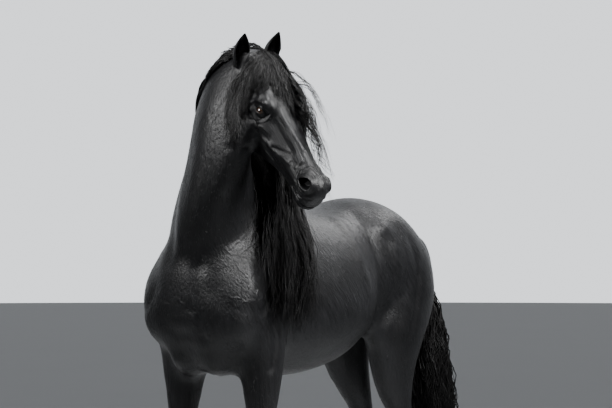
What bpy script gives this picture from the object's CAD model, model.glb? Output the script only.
"""The finish of a Friesian stallion: skin, eyes, hooves, mane, forelock, tail, feather and short coat.

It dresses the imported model, which is loaded as a fixed frame. The horse's own directions are +X ahead,
+Y to its left and Z up, in metres, with the soles at Z = 0. SHIFT carries them into the frame.
"""

import math

import bmesh
import bpy
import numpy as np
from mathutils import Matrix, Vector
from mathutils.bvhtree import BVHTree


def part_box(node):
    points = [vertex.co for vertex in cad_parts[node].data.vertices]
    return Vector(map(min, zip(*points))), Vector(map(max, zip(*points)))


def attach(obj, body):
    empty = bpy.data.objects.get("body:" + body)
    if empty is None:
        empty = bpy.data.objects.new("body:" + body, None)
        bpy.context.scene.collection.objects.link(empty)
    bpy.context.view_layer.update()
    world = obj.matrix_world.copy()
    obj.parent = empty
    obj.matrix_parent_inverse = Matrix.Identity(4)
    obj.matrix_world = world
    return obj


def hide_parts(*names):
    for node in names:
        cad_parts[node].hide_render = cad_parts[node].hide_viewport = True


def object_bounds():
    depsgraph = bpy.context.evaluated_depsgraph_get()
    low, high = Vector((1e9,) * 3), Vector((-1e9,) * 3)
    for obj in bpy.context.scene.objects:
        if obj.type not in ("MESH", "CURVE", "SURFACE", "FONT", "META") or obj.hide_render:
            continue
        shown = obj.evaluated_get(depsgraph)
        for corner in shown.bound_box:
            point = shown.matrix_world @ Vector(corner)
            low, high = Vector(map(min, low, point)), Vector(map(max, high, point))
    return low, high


bl_info = {
    "name": "Friesian stallion",
    "version": (1, 0, 0),
    "blender": (4, 5, 0),
    "location": "View3D > Sidebar > Horse",
    "description": "Skin, hair, eyes and hooves for the model of a horse, with a stage to see it on",
    "category": "Add Mesh",
}

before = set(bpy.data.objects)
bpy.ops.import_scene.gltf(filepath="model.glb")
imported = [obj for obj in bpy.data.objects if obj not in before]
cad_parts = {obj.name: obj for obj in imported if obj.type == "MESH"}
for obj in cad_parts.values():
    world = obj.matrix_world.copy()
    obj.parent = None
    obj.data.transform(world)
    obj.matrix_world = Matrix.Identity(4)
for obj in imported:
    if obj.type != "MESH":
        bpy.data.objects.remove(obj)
CAD_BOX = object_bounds()
BODY = "root"
AHEAD, LEFT, UP = (Vector(way) for way in ((1, 0, 0), (0, 1, 0), (0, 0, 1)))

# Pose and sizes, as in the part's source
POLL = Vector((0.70, 0.30, 2.125))
HEAD_HEADING = math.radians(76)
HEAD_PITCH = math.radians(56)
LEG_PIVOT_HEIGHT = 1.25
CORONET_HEIGHT = 0.088
CORONET_SLOPE = 0.30
STRIDE = {"fore_left": -0.015, "fore_right": 0.04, "hind_left": 0.23, "hind_right": -0.10}
SPREAD = {"fore_left": 0.018, "fore_right": 0.0, "hind_left": 0.0, "hind_right": 0.0}
SIDES = {"left": 1, "right": -1}
RING_POINTS = 28

# Trunk: x, top, bottom, half width, height share of the widest level, power of the topline
TRUNK = (
    (0.835, 1.27, 1.08, 0.060, 0.50, 1.0),
    (0.800, 1.36, 1.01, 0.135, 0.50, 1.0),
    (0.720, 1.47, 0.935, 0.205, 0.48, 1.0),
    (0.600, 1.56, 0.874, 0.235, 0.46, 1.1),
    (0.480, 1.625, 0.865, 0.250, 0.44, 1.35),
    (0.360, 1.622, 0.850, 0.275, 0.42, 1.5),
    (0.220, 1.575, 0.836, 0.298, 0.42, 1.25),
    (0.080, 1.535, 0.842, 0.308, 0.43, 1.0),
    (-0.060, 1.528, 0.860, 0.300, 0.45, 0.92),
    (-0.190, 1.545, 0.892, 0.276, 0.48, 0.9),
    (-0.310, 1.572, 0.950, 0.262, 0.52, 0.9),
    (-0.430, 1.584, 1.010, 0.272, 0.54, 0.92),
    (-0.560, 1.562, 1.060, 0.275, 0.50, 0.95),
    (-0.690, 1.500, 1.080, 0.250, 0.46, 1.0),
    (-0.790, 1.420, 1.110, 0.190, 0.46, 1.0),
    (-0.860, 1.330, 1.170, 0.090, 0.48, 1.0),
)

# Neck: centre x, y, z, heading in degrees, fall of the throat in degrees, half depth, half width,
# crest power
NECK = (
    (0.420, 0.000, 1.290, 0, 52, 0.270, 0.170, 1.2),
    (0.520, 0.000, 1.385, 0, 48, 0.290, 0.200, 1.3),
    (0.595, 0.010, 1.495, 6, 42, 0.285, 0.182, 1.4),
    (0.645, 0.042, 1.605, 18, 35, 0.255, 0.150, 1.5),
    (0.685, 0.086, 1.715, 35, 27, 0.226, 0.127, 1.55),
    (0.706, 0.118, 1.815, 50, 22, 0.208, 0.116, 1.55),
    (0.712, 0.152, 1.905, 63, 24, 0.192, 0.106, 1.5),
    (0.705, 0.190, 1.975, 72, 36, 0.170, 0.097, 1.4),
    (0.697, 0.228, 2.012, 76, 52, 0.150, 0.088, 1.3),
    (0.700, 0.268, 2.025, 76, 66, 0.128, 0.076, 1.2),
)

# Head: distance from the poll, face line, jaw line, then half widths at the face, the middle and the jaw
HEAD = (
    (-0.055, 0.050, 0.130, 0.022, 0.030, 0.022),
    (-0.030, 0.014, 0.185, 0.042, 0.058, 0.044),
    (0.040, -0.010, 0.222, 0.054, 0.078, 0.054),
    (0.110, -0.022, 0.258, 0.070, 0.088, 0.050),
    (0.180, -0.022, 0.272, 0.080, 0.091, 0.046),
    (0.240, -0.012, 0.268, 0.074, 0.086, 0.043),
    (0.300, -0.004, 0.246, 0.060, 0.075, 0.040),
    (0.370, 0.002, 0.212, 0.048, 0.062, 0.036),
    (0.440, 0.004, 0.180, 0.041, 0.052, 0.032),
    (0.505, 0.002, 0.160, 0.040, 0.050, 0.032),
    (0.560, -0.002, 0.158, 0.045, 0.058, 0.036),
    (0.605, 0.000, 0.160, 0.049, 0.063, 0.039),
    (0.635, 0.012, 0.153, 0.043, 0.057, 0.036),
    (0.655, 0.038, 0.132, 0.026, 0.040, 0.026),
)

# Legs of the left side: x, y, z, half depth along x, half width along y
FORELEG = (
    (0.580, 0.165, 1.180, 0.120, 0.080),
    (0.560, 0.175, 1.080, 0.135, 0.092),
    (0.545, 0.178, 0.980, 0.122, 0.090),
    (0.540, 0.172, 0.890, 0.108, 0.084),
    (0.545, 0.172, 0.790, 0.084, 0.068),
    (0.552, 0.172, 0.690, 0.062, 0.054),
    (0.558, 0.170, 0.610, 0.052, 0.048),
    (0.563, 0.169, 0.540, 0.053, 0.051),
    (0.562, 0.168, 0.480, 0.053, 0.051),
    (0.556, 0.168, 0.420, 0.042, 0.040),
    (0.552, 0.168, 0.340, 0.038, 0.031),
    (0.551, 0.168, 0.265, 0.039, 0.031),
    (0.550, 0.168, 0.215, 0.048, 0.038),
    (0.556, 0.168, 0.180, 0.044, 0.037),
    (0.574, 0.168, 0.140, 0.038, 0.036),
    (0.592, 0.168, 0.105, 0.043, 0.042),
    (0.606, 0.168, 0.050, 0.050, 0.048),
)
HINDLEG = (
    (-0.600, 0.140, 1.300, 0.220, 0.110),
    (-0.610, 0.148, 1.180, 0.240, 0.122),
    (-0.600, 0.154, 1.070, 0.222, 0.122),
    (-0.590, 0.158, 0.970, 0.184, 0.108),
    (-0.605, 0.154, 0.880, 0.150, 0.090),
    (-0.634, 0.148, 0.790, 0.122, 0.074),
    (-0.672, 0.146, 0.710, 0.096, 0.060),
    (-0.712, 0.148, 0.645, 0.073, 0.048),
    (-0.722, 0.147, 0.590, 0.066, 0.046),
    (-0.715, 0.147, 0.530, 0.056, 0.045),
    (-0.703, 0.147, 0.460, 0.045, 0.040),
    (-0.697, 0.147, 0.370, 0.040, 0.033),
    (-0.692, 0.147, 0.280, 0.040, 0.033),
    (-0.688, 0.147, 0.225, 0.049, 0.039),
    (-0.680, 0.147, 0.188, 0.044, 0.037),
    (-0.661, 0.147, 0.145, 0.038, 0.036),
    (-0.644, 0.147, 0.108, 0.042, 0.041),
    (-0.630, 0.147, 0.050, 0.050, 0.047),
)

# Muscles and bony points of the left side: centre, half lengths, turn in degrees about Y
MUSCLES = {
    "shoulder blade": ((0.570, 0.150, 1.330), (0.115, 0.088, 0.270), 30),
    "point of the shoulder": ((0.665, 0.172, 1.160), (0.125, 0.100, 0.190), 15),
    "upper arm": ((0.485, 0.195, 1.130), (0.140, 0.080, 0.135), -25),
    "breast": ((0.735, 0.085, 1.130), (0.095, 0.100, 0.175), 0),
    "breast between the legs": ((0.640, 0.062, 0.938), (0.130, 0.075, 0.085), 0),
    "croup": ((-0.480, 0.120, 1.410), (0.240, 0.130, 0.130), 14),
    "point of the hip": ((-0.335, 0.205, 1.440), (0.060, 0.045, 0.050), 0),
    "thigh": ((-0.600, 0.165, 1.220), (0.190, 0.118, 0.240), -14),
    "buttock": ((-0.765, 0.115, 1.210), (0.105, 0.092, 0.220), 8),
    "elbow": ((0.455, 0.180, 0.985), (0.055, 0.050, 0.060), 0),
    "forearm": ((0.575, 0.190, 0.900), (0.070, 0.062, 0.120), 0),
}
HIND_MUSCLES = {
    "stifle": ((-0.450, 0.165, 1.050), (0.085, 0.075, 0.130), 20),
    "gaskin": ((-0.610, 0.170, 0.880), (0.085, 0.062, 0.130), 25),
    "point of the hock": ((-0.768, 0.147, 0.632), (0.032, 0.026, 0.055), 0),
    "tendon of the hock": ((-0.744, 0.148, 0.725), (0.028, 0.020, 0.110), -8),
}

# Bulges of the left of the head: distance from the poll, depth, side, then half lengths along each
HEAD_BULGES = {
    "cheek": ((0.195, 0.185, 0.050), (0.105, 0.088, 0.038)),
    "brow": ((0.212, 0.034, 0.066), (0.060, 0.032, 0.034)),
    "lower rim of the orbit": ((0.275, 0.096, 0.070), (0.050, 0.018, 0.018)),
    "facial crest": ((0.335, 0.108, 0.058), (0.100, 0.014, 0.014)),
    "nostril": ((0.592, 0.042, 0.040), (0.046, 0.038, 0.028)),
    "upper lip": ((0.618, 0.080, 0.022), (0.040, 0.034, 0.036)),
    "lower lip": ((0.596, 0.136, 0.012), (0.044, 0.022, 0.024)),
    "ear root": ((-0.004, 0.040, 0.058), (0.038, 0.040, 0.034)),
}

# Dock of the tail: x, y, z, half width
DOCK = (
    (-0.780, 0.000, 1.440, 0.060),
    (-0.855, 0.000, 1.420, 0.055),
    (-0.915, 0.005, 1.360, 0.047),
    (-0.950, 0.012, 1.270, 0.040),
    (-0.970, 0.020, 1.170, 0.032),
)

# Tail: x, y, z, half width
TAIL = (
    (-0.905, 0.006, 1.345, 0.046),
    (-0.945, 0.020, 1.220, 0.062),
    (-0.975, 0.035, 1.050, 0.085),
    (-0.995, 0.060, 0.800, 0.105),
    (-1.020, 0.085, 0.500, 0.095),
    (-1.045, 0.110, 0.250, 0.055),
    (-1.060, 0.120, 0.110, 0.012),
)

# Hoof: share of its height from the coronet, half depth, half width, how far forward of the coronet's centre
HOOF_ROWS = (
    (0.0, 0.049, 0.047, 0.000),
    (0.12, 0.054, 0.052, 0.004),
    (0.90, 0.072, 0.067, 0.024),
    (1.0, 0.069, 0.064, 0.025),
)
HEEL_SHARE = 0.86

# Ear: share of its length, radius of the curved section, half of its opening angle in degrees
EAR_ROOT = (0.020, 0.080, 0.070)
EAR_LEAN = 0.34
EAR_SPLAY = 0.10
EAR_TURN = {1: -22, -1: -36}
EAR_CURL = 0.020
EAR_SHARE = {1: 1.0, -1: 0.90}
EAR_ROWS = (
    (0.00, 0.022, 150),
    (0.22, 0.028, 138),
    (0.42, 0.032, 122),
    (0.62, 0.029, 112),
    (0.80, 0.019, 105),
    (0.93, 0.009, 95),
    (1.00, 0.003, 90),
)

EYE_PLACE = (0.240, 0.068, 0.072)
NOSTRIL = (0.592, 0.040, 0.058)
NOSTRIL_HALVES = (0.0290, 0.0200)
NOSTRIL_SKIN = 0.06

# Mouth: the front of its line on the head, how far its corners drop, how far round it goes, and how far
# above and below the line the lips swell
MOUTH_FRONT = (0.560, 0.112)
MOUTH_DROP = 0.010
MOUTH_TURN = 112
LIP_RISE = 0.009

# Rows of the neck that lie behind the end of the mane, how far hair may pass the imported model's box,
# and how far from the middle a relief starts that has a twin on the other side
CREST_END = 5
HAIR_REACH = 0.022
MIDDLE_REACH = 0.08

# Most triangles of a piece of hair, size of a tuft's patch on the unwrap, gap that hair keeps to the skin,
# and share of the hair that is made
PIECE_TRIANGLES = 190000
PATCH = 0.003
HAIR_GAP = 0.002
HAIR_SHARE = 1.0

# Opening of the eye: half length, rise of the upper lid, drop of the lower lid
EYE_OPENING = (0.0205, 0.0116, 0.0078)
EYE_TILT = math.radians(26)
LID_THICKNESS = 0.0036
LID_BLEND = 0.006

# Folds of the lids above and below the opening: distance from its edge, width, height
UPPER_FOLDS = ((0.0085, 0.0022, -0.0020), (0.0150, 0.0030, -0.0018), (0.0120, 0.0028, 0.0016))
LOWER_FOLDS = ((0.0070, 0.0020, -0.0008), (0.0125, 0.0026, -0.0004))

# Relief of the left of the head: points as distance from the poll and depth, then width and height
HEAD_RELIEF = (
    (((0.285, 0.112), (0.34, 0.124), (0.40, 0.128), (0.43, 0.126)), 0.0090, 0.0050),
    (((0.29, 0.136), (0.36, 0.150), (0.42, 0.150)), 0.0130, -0.0040),
    (((0.305, 0.140), (0.318, 0.185), (0.295, 0.232)), 0.0130, -0.0050),
    (((0.205, 0.105), (0.155, 0.098), (0.10, 0.092), (0.06, 0.100)), 0.0120, 0.0050),
    (((0.150, 0.028), (0.205, 0.024)), 0.0200, -0.0060),
    (((0.30, 0.018), (0.40, 0.024), (0.50, 0.030)), 0.0090, 0.0030),
    (((0.31, 0.052), (0.40, 0.058), (0.49, 0.062)), 0.0160, -0.0040),
    (((0.43, 0.100), (0.50, 0.096), (0.55, 0.090)), 0.0200, 0.0040),
    (((0.33, 0.150), (0.36, 0.120), (0.40, 0.104), (0.45, 0.088), (0.49, 0.070), (0.51, 0.050)),
     0.0034, 0.0028),
    (((0.40, 0.104), (0.44, 0.112), (0.49, 0.110), (0.53, 0.104)), 0.0030, 0.0024),
    (((0.36, 0.120), (0.335, 0.092), (0.300, 0.094), (0.275, 0.110)), 0.0032, 0.0026),
    (((0.44, 0.088), (0.46, 0.110), (0.47, 0.130)), 0.0028, 0.0018),
    (((0.536, 0.018), (0.526, 0.042), (0.536, 0.068)), 0.0040, -0.0028),
    (((0.520, 0.022), (0.510, 0.046), (0.520, 0.074)), 0.0040, -0.0018),
    (((0.548, 0.082), (0.580, 0.088), (0.615, 0.082)), 0.0060, -0.0022),
    (((0.530, 0.142), (0.548, 0.150), (0.570, 0.160)), 0.0060, -0.0036),
    (((0.490, 0.108), (0.505, 0.116), (0.512, 0.128)), 0.0028, -0.0022),
    (((0.478, 0.112), (0.492, 0.122), (0.496, 0.136)), 0.0028, -0.0016),
    (((0.10, 0.135), (0.13, 0.180), (0.15, 0.230)), 0.0160, -0.0040),
)

# Relief of the side of the head, drawn by its place in the picture and mirrored to the other side
HEAD_SEEN = (
    (((253, 123), (262, 136), (271, 147)), 0.0090, 0.0060),
    (((272, 147), (281, 151), (290, 155)), 0.0055, -0.0048),
    (((258, 132), (266, 146), (276, 158)), 0.0100, -0.0040),
    (((266, 152), (272, 160), (279, 166), (284, 176)), 0.0032, 0.0030),
    (((272, 160), (277, 156), (284, 158)), 0.0030, 0.0026),
    (((279, 166), (286, 164), (291, 160)), 0.0030, 0.0026),
    (((283, 168), (287, 176), (288, 184)), 0.0034, -0.0030),
    (((288, 166), (292, 174), (293, 182)), 0.0034, -0.0024),
    (((280, 112), (292, 132), (304, 150)), 0.0100, 0.0040),
    (((270, 116), (281, 137), (292, 152)), 0.0150, -0.0045),
    (((250, 119), (258, 121), (266, 116)), 0.0040, -0.0030),
    (((248, 104), (256, 100), (265, 104)), 0.0070, 0.0045),
    (((252, 90), (256, 95)), 0.0140, -0.0060),
    (((305, 168), (313, 169), (319, 176)), 0.0050, 0.0034),
    (((300, 166), (297, 174), (297, 184)), 0.0050, -0.0030),
    (((295, 191), (302, 198), (311, 200)), 0.0045, -0.0032),
)

# Relief of the body, drawn by its place in the picture's frame and mirrored to the other side:
# points across and down, then width and height
BODY_RELIEF = (
    (((226, 118), (214, 160), (203, 210), (200, 262)), 0.040, -0.0060),
    (((206, 112), (198, 150), (190, 200), (182, 240)), 0.048, 0.0040),
    (((262, 222), (269, 250), (272, 285), (266, 306)), 0.026, -0.0060),
    (((240, 255), (252, 285), (262, 300)), 0.036, 0.0060),
    (((214, 290), (226, 306), (246, 312), (266, 306)), 0.030, -0.0040),
    (((197, 268), (199, 300), (202, 338)), 0.026, -0.0100),
    (((188, 308), (192, 311)), 0.014, -0.0060),
    (((160, 318), (172, 330), (190, 336)), 0.026, -0.0030),
    (((272, 318), (276, 340), (272, 368)), 0.020, -0.0080),
    (((356, 216), (368, 234), (377, 256), (380, 286), (377, 312)), 0.038, -0.0100),
    (((392, 236), (398, 262), (399, 300)), 0.040, 0.0060),
    (((410, 240), (418, 270), (416, 306), (408, 340)), 0.024, -0.0060),
    (((338, 222), (352, 240), (362, 264), (369, 290)), 0.036, 0.0070),
    (((350, 203), (362, 214), (372, 226)), 0.040, 0.0030),
)

# Locks of the forelock that cross the forehead, drawn by their place in the picture
FORELOCK_SEEN = (
    ((259, 57), (256, 64), (251, 80), (247, 98), (244, 120), (243, 140)),
    ((262, 57), (261, 64), (257, 77), (251, 92), (247, 106)),
    ((263, 57), (264, 66), (262, 78), (258, 90), (254, 98)),
    ((265, 57), (267, 66), (267, 78), (264, 90), (261, 97)),
    ((267, 57), (270, 67), (270, 78), (267, 90), (266, 98)),
    ((267, 57), (271, 66), (274, 80), (275, 94)),
    ((269, 57), (274, 66), (280, 82), (285, 100)),
    ((270, 57), (278, 66), (287, 82), (295, 104), (301, 124)),
    ((270, 57), (280, 66), (290, 82), (298, 100), (305, 122), (311, 140)),
)

# Kinds of lock: tufts, spread, width of a tuft, height of its waves, their number, share of the spread
# that is left at the tips, share of it at the root, and how far tufts stray
LOCKS = {
    "mane": (60, 0.038, 0.0044, 0.020, 4.0, 0.45, 1.0, 0.05),
    "stray mane": (16, 0.038, 0.0030, 0.030, 4.0, 0.45, 1.0, 0.12),
    "crest": (40, 0.014, 0.0034, 0.005, 2.0, 0.7, 0.5, 0.03),
    "cheek": (28, 0.010, 0.0030, 0.006, 2.5, 0.7, 1.0, 0.05),
    "forelock": (50, 0.020, 0.0030, 0.012, 4.0, 0.45, 1.0, 0.05),
    "stray forelock": (12, 0.020, 0.0030, 0.022, 4.0, 0.45, 1.0, 0.14),
    "forehead": (24, 0.010, 0.0026, 0.005, 2.5, 0.6, 1.0, 0.06),
    "poll": (36, 0.012, 0.0028, 0.006, 2.0, 0.6, 1.0, 0.10),
    "wisp": (14, 0.014, 0.0022, 0.020, 2.4, 0.8, 1.0, 0.16),
    "short wisp": (8, 0.012, 0.0018, 0.010, 1.6, 0.9, 1.0, 0.14),
    "tail": (50, 0.036, 0.0046, 0.018, 4.0, 0.45, 1.0, 0.04),
    "dock": (40, 0.026, 0.0040, 0.010, 2.5, 0.45, 1.0, 0.05),
    "feather": (22, 0.022, 0.0034, 0.005, 1.4, 0.9, 1.0, 0.09),
}

# Camera that took the picture: its direction from the horse, distance, height, focal length in pixels,
# the place in the picture of the horse's own origin at that height, and the picture's size
CAMERA_TURN = math.radians(33)
CAMERA_DISTANCE = 9.6
CAMERA_HEIGHT = 1.41
CAMERA_FOCAL = 2295.0
CAMERA_MIDDLE = (296, 237)
PICTURE = (612, 408)

# Lamps: name, place from the horse's middle (towards the camera, to its right, up), size, power, spread
LAMPS = (
    ("sky", (0, 0.3, 3.4), 2.0, 37, 120),
    ("key", (2.4, 0.8, 3.6), 1.3, 44, 60),
    ("right_window", (1.9, 3.5, 2.4), 1.7, 104, 70),
    ("left_window", (2.2, -3.4, 2.6), 1.6, 46, 70),
    ("rim", (-2.8, 2.4, 3.0), 1.6, 20, 80),
)


def head_frame():
    """The head's own directions: along the face to the muzzle, out of the face, and to its left."""
    ahead = Vector((math.cos(HEAD_HEADING), math.sin(HEAD_HEADING), 0))
    along = ahead * math.cos(HEAD_PITCH) - UP * math.sin(HEAD_PITCH)
    outward = ahead * math.sin(HEAD_PITCH) + UP * math.cos(HEAD_PITCH)
    return along, outward, UP.cross(ahead)


ALONG, OUTWARD, HEAD_LEFT = head_frame()
HEAD_AHEAD = Vector((math.cos(HEAD_HEADING), math.sin(HEAD_HEADING), 0))
HEAD_AXES = Matrix((ALONG, -OUTWARD, HEAD_LEFT)).transposed()


def head_point(along, depth, side):
    """A place on the head: along the face from the poll, below the face line, and to its left."""
    return POLL + HEAD_AXES @ Vector((along, depth, side))


def eye_centre(side):
    return head_point(EYE_PLACE[0], EYE_PLACE[1], EYE_PLACE[2] * side)


def find_shift():
    """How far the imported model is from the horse's own origin, read from its left eye."""
    low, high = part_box("eye_left")
    return (low + high) / 2 - eye_centre(1)


SHIFT = find_shift()
SHIFT.z = 0
EYE_RADIUS = (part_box("eye_left")[1].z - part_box("eye_left")[0].z) / 2


def camera_axes():
    """Towards the camera, and to the right of its picture."""
    toward = Vector((math.cos(CAMERA_TURN), math.sin(CAMERA_TURN), 0))
    return toward, Vector((-toward.y, toward.x, 0))


def camera_ray(across, down):
    """The start and direction of the line of sight through a place of the picture."""
    toward, right = camera_axes()
    start = toward * CAMERA_DISTANCE + Vector((0, 0, CAMERA_HEIGHT))
    way = (-toward + right * ((across - CAMERA_MIDDLE[0]) / CAMERA_FOCAL)
           - UP * ((down - CAMERA_MIDDLE[1]) / CAMERA_FOCAL))
    return start, way.normalized()


def smooth_rows(rows, steps=4):
    """The rows of a table with more between them, on a smooth curve through all of them."""
    rows = np.array(rows, float)
    padded = np.vstack((2 * rows[0] - rows[1], rows, 2 * rows[-1] - rows[-2]))
    made = []
    for a, b, c, d in zip(padded, padded[1:], padded[2:], padded[3:]):
        for k in range(steps):
            t = k / steps
            made.append(
                0.5
                * (2 * b + (c - a) * t + (2 * a - 5 * b + 4 * c - d) * t**2 + (3 * b - a - 3 * c + d) * t**3)
            )
    return made + [rows[-1]]


def oval(centre, side, up, half, rise, drop, top_power=1.0, low_power=1.0):
    """A ring of points, wide along side; a power above 1 narrows that half and one below 1 fills it."""
    ring = []
    for k in range(RING_POINTS):
        angle = 2 * math.pi * k / RING_POINTS
        across, over = math.sin(angle), math.cos(angle)
        power = top_power if over > 0 else low_power
        reach = rise if over > 0 else drop
        ring.append(centre + side * math.copysign(abs(across) ** power, across) * half + up * reach * over)
    return ring


def add_loft(bm, rings):
    """A closed tube through rings of as many points each."""
    loops = []
    for ring in rings:
        points = [bm.verts.new(point) for point in ring]
        loops.append([bm.edges.new((points[k - 1], points[k])) for k in range(len(points))])
    for low, high in zip(loops, loops[1:]):
        bmesh.ops.bridge_loops(bm, edges=low + high)
    for loop in (loops[0], loops[-1]):
        bmesh.ops.contextual_create(bm, geom=loop)


def add_oval_ball(bm, centre, halves, turn):
    """A stretched ball, turned by a 3x3 matrix."""
    place = Matrix.Translation(centre) @ turn.to_4x4() @ Matrix.Diagonal((*halves, 1))
    bmesh.ops.create_uvsphere(bm, u_segments=24, v_segments=14, radius=1, matrix=place)


def trunk_rings():
    rings = []
    for x, top, bottom, half, share, power in smooth_rows(TRUNK):
        middle = bottom + share * (top - bottom)
        rings.append(
            oval(Vector((x, 0, middle)), LEFT, UP, half, top - middle,
                 middle - bottom, power, 0.9)
        )
    return rings


def neck_frames():
    """Centre, left, crest direction and sizes of the neck's sections, from the trunk to the head."""
    frames = []
    for x, y, z, heading, lean, depth, half, power in smooth_rows(NECK):
        turn, lean = math.radians(heading), math.radians(lean)
        ahead = Vector((math.cos(turn), math.sin(turn), 0))
        crest = UP * math.sin(lean) - ahead * math.cos(lean)
        frames.append((Vector((x, y, z)), Vector((-ahead.y, ahead.x, 0)), crest, depth, half, power))
    return frames


def neck_rings():
    return [
        oval(centre, left, crest, half, depth, depth, power, 1.05)
        for centre, left, crest, depth, half, power in neck_frames()
    ]


def head_rings():
    """Sections of the head, with three half widths blended from the face line to the jaw line."""
    rings = []
    for along, face, jaw, at_face, at_middle, at_jaw in smooth_rows(HEAD):
        ring = []
        for k in range(RING_POINTS):
            angle = 2 * math.pi * k / RING_POINTS
            share = (1 - math.cos(angle)) / 2
            width = np.interp(share, (0, 0.42, 1), (at_face, at_middle, at_jaw))
            side = math.copysign(abs(math.sin(angle)) ** 0.62, math.sin(angle)) * width
            ring.append(head_point(along, face + share * (jaw - face), side))
        rings.append(ring)
    return rings


def stride_at(leg, z):
    """How far a leg's section is carried forward at a height."""
    return STRIDE[leg] * max(0.0, LEG_PIVOT_HEIGHT - z) / LEG_PIVOT_HEIGHT


def leg_rows(leg):
    """A leg's rows in place: its table, mirrored to its side and carried by its stride."""
    table = FORELEG if leg.startswith("fore") else HINDLEG
    mirror = 1 if leg.endswith("left") else -1
    rows = []
    for x, y, z, depth, half in table:
        out = SPREAD[leg] * min(1.0, max(0.0, (LEG_PIVOT_HEIGHT - z) / 0.5))
        rows.append((x + stride_at(leg, z), (y + out) * mirror, z, depth, half))
    return rows


def leg_rings(leg):
    return [
        oval(Vector((x, y, z)), LEFT, AHEAD, half, depth, depth)
        for x, y, z, depth, half in smooth_rows(leg_rows(leg))
    ]


def leg_centre(leg, z):
    """Where the middle of a leg is at a height."""
    rows = sorted((row[2], row[0], row[1]) for row in leg_rows(leg))
    heights = [row[0] for row in rows]
    return np.interp(z, heights, [row[1] for row in rows]), np.interp(z, heights, [row[2] for row in rows])


def dock_rings():
    return [
        oval(Vector((x, y, z)), LEFT, Vector((0.75, 0, 0.66)), half, half, half)
        for x, y, z, half in smooth_rows(DOCK, 2)
    ]


def add_muscles(bm, mirror):
    hind = "hind_left" if mirror > 0 else "hind_right"
    fore = "fore_left" if mirror > 0 else "fore_right"
    for group, leg in ((MUSCLES, fore), (HIND_MUSCLES, hind)):
        for (x, y, z), halves, pitch in group.values():
            carried = stride_at(leg, z) if group is HIND_MUSCLES or z < 1 else 0
            turn = Matrix.Rotation(math.radians(-pitch), 3, "Y")
            add_oval_ball(bm, Vector((x + carried, y * mirror, z)), halves, turn)
    for (along, depth, side), halves in HEAD_BULGES.values():
        add_oval_ball(bm, head_point(along, depth, side * mirror), halves, HEAD_AXES)


def ear_axes(side):
    """Root of an ear, its direction to the tip, the way its opening faces, and across it."""
    root = head_point(*EAR_ROOT[:2], EAR_ROOT[2] * side)
    up = (UP + HEAD_AHEAD * EAR_LEAN + HEAD_LEFT * EAR_SPLAY * side).normalized()
    turn = Matrix.Rotation(math.radians(EAR_TURN[side]), 3, up)
    front = turn @ (HEAD_AHEAD - up * HEAD_AHEAD.dot(up)).normalized()
    return root, up, front, up.cross(front)


def add_ear(bm, side, length):
    """A cupped, pointed ear: curved sections from the root in the head to the tip."""
    root, up, front, across = ear_axes(side)
    length *= EAR_SHARE[side]
    rings = []
    steps = 14
    for height, radius, opening in smooth_rows(EAR_ROWS, 5):
        centre = root + up * length * height + front * EAR_CURL * height * height
        wall = min(0.0042, radius * 0.6)
        arc = [math.radians(opening) * (k / steps * 2 - 1) for k in range(steps + 1)]
        outer = [centre + (across * math.sin(a) - front * math.cos(a)) * radius for a in arc]
        inner = [centre + (across * math.sin(a) - front * math.cos(a)) * (radius - wall) for a in arc]
        rings.append(outer + inner[::-1])
    add_loft(bm, rings)


def mesh_object(name, bm, split=False):
    """A visible object from a bmesh whose closed surfaces face outwards."""
    bmesh.ops.recalc_face_normals(bm, faces=bm.faces)
    if split:
        bmesh.ops.triangulate(bm, faces=bm.faces)
    mesh = bpy.data.meshes.new(name)
    bm.to_mesh(mesh)
    bm.free()
    obj = bpy.data.objects.new(name, mesh)
    bpy.context.scene.collection.objects.link(obj)
    return obj


def evaluated_copy(obj):
    """The object's mesh with its modifiers applied."""
    return bpy.data.meshes.new_from_object(obj.evaluated_get(bpy.context.evaluated_depsgraph_get()))


def points_of(mesh):
    points = np.empty(len(mesh.vertices) * 3)
    mesh.vertices.foreach_get("co", points)
    return points.reshape(-1, 3)


def normals_of(mesh):
    normals = np.empty(len(mesh.vertices) * 3, np.float32)
    mesh.vertex_normals.foreach_get("vector", normals)
    return normals.reshape(-1, 3).astype(float)


def move_points(mesh, points):
    mesh.vertices.foreach_set("co", np.ascontiguousarray(points).ravel())
    mesh.update()


def in_head_axes(points):
    """Distance from the poll, depth and side of each point."""
    return (points - np.array(POLL)) @ np.array(HEAD_AXES)


def softness(points):
    """How much each place of the flesh is softened: the trunk fully, the legs and head little."""
    on_leg = np.clip((points[:, 2] - 0.72) / 0.25, 0.13, 1.0)
    along, depth, side = in_head_axes(points).T
    in_head = (along > -0.02) & (depth > -0.06) & (depth < 0.36) & (np.abs(side) < 0.16)
    from_neck = np.where(in_head, np.clip((along - 0.02) / 0.10, 0, 1), 0)
    return on_leg * (1 - 0.86 * from_neck)


def soften(mesh, steps, weights):
    """Moves each point towards its neighbours, as much as its weight allows."""
    points = points_of(mesh)
    count = len(points)
    ends = np.empty(len(mesh.edges) * 2, np.int64)
    mesh.edges.foreach_get("vertices", ends)
    ends = ends.reshape(-1, 2)
    meets = np.maximum(np.bincount(ends.ravel(), minlength=count), 1)[:, None]
    share = 0.5 * weights[:, None]
    for _ in range(steps):
        total = np.empty_like(points)
        for axis in range(3):
            total[:, axis] = np.bincount(ends[:, 0], points[ends[:, 1], axis], count)
            total[:, axis] += np.bincount(ends[:, 1], points[ends[:, 0], axis], count)
        points += share * (total / meets - points)
    move_points(mesh, points)


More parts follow.
